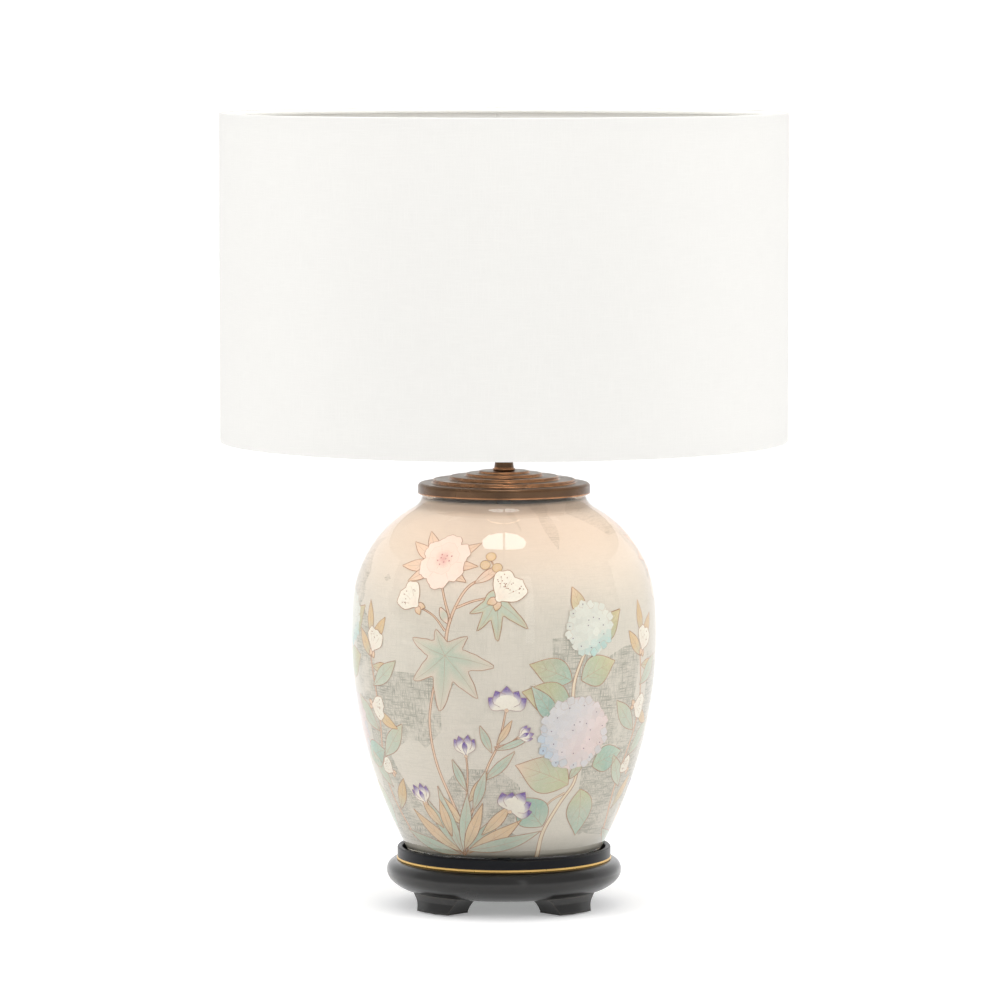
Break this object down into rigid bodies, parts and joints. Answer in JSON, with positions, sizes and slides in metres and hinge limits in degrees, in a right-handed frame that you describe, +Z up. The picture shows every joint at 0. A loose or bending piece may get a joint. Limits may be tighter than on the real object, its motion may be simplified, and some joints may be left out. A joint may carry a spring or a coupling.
{
  "type": "table lamp",
  "caption": "Table lamp with a glass vase lined in a cut-paper garden print, on a black turned stand, with a stepped bronze cap, a screw-in bulb and a white drum shade.",
  "frame": {"origin": "on the lamp's axis, in the plane that the felt pads under its feet stand on", "axes": "+Z up along the axis, -Y to the front; the cord's bush is at the back, +Y"},
  "size_m": [0.4, 0.4, 0.561],
  "materials": {
    "black_lacquer": "satin black lacquer over turned hardwood",
    "gilt": "gilt",
    "felt": "dark green felt",
    "black_rubber": "matt",
    "zinc_steel": "zinc plated",
    "clear_glass": "clear, polished",
    "printed_paper": "pale linen ground with a printed garden pattern, varnished",
    "antique_brass": "dark antique finish, rubbed at the edges",
    "disc_board": "bare fibre board",
    "porcelain": "glazed",
    "contact_brass": "bright",
    "black_plastic": "gloss",
    "bulb_metal": "bright",
    "bulb_shell": "white",
    "bulb_opal": "opal, lit warm white",
    "led_aluminium": "white solder mask",
    "led_phosphor": "yellow phosphor, lit",
    "driver_circuit": "green circuit board",
    "shade_cloth": "off-white cotton",
    "shade_lining": "translucent white laminate",
    "white_steel": "white powder coat"
  },
  "bodies": {
    "lamp": {"stand_body": "black_lacquer", "front_right_foot": "black_lacquer", "back_right_foot": "black_lacquer", "back_left_foot": "black_lacquer", "front_left_foot": "black_lacquer", "gilt_band": "gilt", "felt_pads": "felt", "base_felt": "felt", "cord_bush": "black_rubber", "vase_seat": "black_rubber", "vase_bush": "black_rubber", "cap_gasket": "black_rubber", "threaded_rod": "zinc_steel", "well_washer": "zinc_steel", "well_nut": "zinc_steel", "disc_nut": "zinc_steel", "entry_nut": "zinc_steel", "glass_vase": "clear_glass", "paper_lining": "printed_paper", "vase_cap": "antique_brass", "neck_spool": "antique_brass", "neck_tube": "antique_brass", "holder_dome": "antique_brass", "holder_sleeve": "antique_brass", "centring_disc": "disc_board", "holder_insert": "porcelain", "socket_shell": "contact_brass", "centre_contact": "contact_brass", "terminal_blocks": "contact_brass", "terminal_screws": "contact_brass", "switch_leaves": "contact_brass"},
    "shade": {"shade_fabric": "shade_cloth", "shade_liner": "shade_lining", "lower_hem": "shade_cloth", "upper_hem": "shade_cloth", "spider_washer": "white_steel", "lower_ring_wire": "white_steel", "upper_ring_wire": "white_steel", "spider_arm_1": "white_steel", "spider_arm_2": "white_steel", "spider_arm_3": "white_steel"},
    "shade_ring": {"shade_ring": "antique_brass"},
    "switch": {"switch_bar": "black_plastic", "switch_bridge": "contact_brass"},
    "bulb_climber": {"bulb_tip": "bulb_metal"},
    "bulb": {"bulb_collar": "black_plastic", "bulb_screw": "bulb_metal", "bulb_body": "bulb_shell", "bulb_globe": "bulb_opal", "led_board": "led_aluminium", "led_chips": "led_phosphor", "driver_board": "driver_circuit"}
  },
  "joints": [
    {"name": "shade_turn", "type": "hinge", "parent": "lamp", "child": "shade", "pos_m": [0, 0, 0.3725], "axis": [0, 0, 1], "continuous": true},
    {"name": "ring_turn", "type": "hinge", "parent": "lamp", "child": "shade_ring", "pos_m": [0, 0, 0.38], "axis": [0, 0, 1], "range_deg": [0, 900]},
    {"name": "switch_push", "type": "slide", "parent": "lamp", "child": "switch", "axis": [-1, 0, 0], "range_m": [0, 0.006]},
    {"name": "bulb_climb", "type": "slide", "parent": "lamp", "child": "bulb_climber", "axis": [0, 0, 1], "range_m": [0, 0.0181]},
    {"name": "bulb_turn", "type": "hinge", "parent": "bulb_climber", "child": "bulb", "pos_m": [0, 0, 0.38], "axis": [0, 0, 1], "range_deg": [0, 1800]}
  ],
  "couplings": [
    {"joint": "bulb_turn", "follows": "bulb_climb", "rad_per_m": 1731.4}
  ]
}
